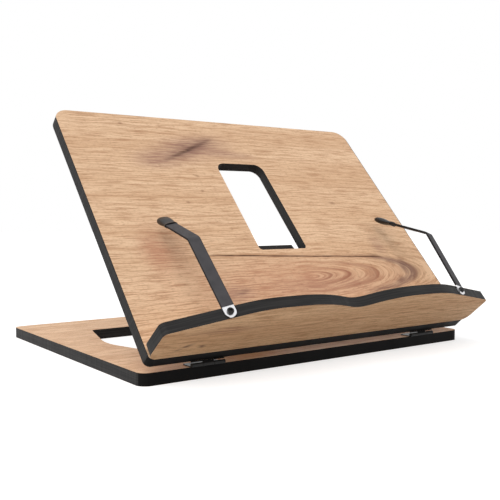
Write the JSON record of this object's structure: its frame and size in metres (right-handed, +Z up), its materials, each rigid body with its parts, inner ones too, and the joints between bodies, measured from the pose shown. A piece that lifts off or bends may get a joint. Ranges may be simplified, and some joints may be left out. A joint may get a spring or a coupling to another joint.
{
  "type": "folding cookbook stand",
  "caption": "Folding wooden cookbook stand: a base board, a tilting back panel with a window and a wavy ledge, a prop leg and two swinging page clips.",
  "frame": {"origin": "middle of the base board's underside, on the table", "axes": "+Z up, +X to the reader's right along the hinge line, +Y from the reader to the back"},
  "size_m": [0.35, 0.3243, 0.2167],
  "materials": {
    "oak_board": "light oak with a satin clear coat on the faces, satin black on the cut edges",
    "beech": "plain turned dowel",
    "zinc_steel": "bright zinc plate",
    "black_steel": "black oxide, satin",
    "clip_steel": "bright rolled steel",
    "clip_sleeve": "dark grey shrink sleeve, matte",
    "cap_rubber": "black soft rubber"
  },
  "bodies": {
    "base": {"base_board": "oak_board", "left_hinge_base_leaf": "black_steel", "right_hinge_base_leaf": "black_steel", "left_hinge_pin": "black_steel", "right_hinge_pin": "black_steel", "hinge_base_screws": "black_steel"},
    "panel": {"back_panel": "oak_board", "ledge": "oak_board", "ledge_screws": "zinc_steel", "ledge_dowels": "beech", "left_hinge_panel_leaf": "black_steel", "right_hinge_panel_leaf": "black_steel", "hinge_panel_screws": "black_steel", "leg_hinge_panel_leaf": "black_steel", "leg_hinge_pin": "black_steel", "leg_hinge_panel_screws": "black_steel", "left_clip_screw": "black_steel", "right_clip_screw": "black_steel", "left_clip_washer": "zinc_steel", "right_clip_washer": "zinc_steel"},
    "leg": {"prop_leg": "oak_board", "leg_hinge_leg_leaf": "black_steel", "leg_hinge_leg_screws": "black_steel"},
    "left_clip": {"left_clip_strip": "clip_steel", "left_clip_sleeve": "clip_sleeve", "left_clip_cap": "cap_rubber"},
    "right_clip": {"right_clip_strip": "clip_steel", "right_clip_sleeve": "clip_sleeve", "right_clip_cap": "cap_rubber"}
  },
  "joints": [
    {"name": "panel_tilt", "type": "hinge", "parent": "base", "child": "panel", "pos_m": [0, -0.1391, 0.0114], "axis": [1, 0, 0], "range_deg": [-47.64, 20]},
    {"name": "leg_fold", "type": "hinge", "parent": "panel", "child": "leg", "pos_m": [0, -0.06929, 0.08849], "axis": [1, 0, 0], "range_deg": [-41.81, 99.58]},
    {"name": "left_clip_swing", "type": "hinge", "parent": "panel", "child": "left_clip", "pos_m": [-0.1255, -0.17778, 0.05459], "axis": [0.2607, 0.7356, -0.6252], "range_deg": [-9, 72]},
    {"name": "right_clip_swing", "type": "hinge", "parent": "panel", "child": "right_clip", "pos_m": [0.1255, -0.17778, 0.05459], "axis": [0.2607, -0.7356, 0.6252], "range_deg": [-5, 76]}
  ],
  "couplings": [
    {"joint": "leg_fold", "follows": "panel_tilt", "ratio": -2.09}
  ]
}
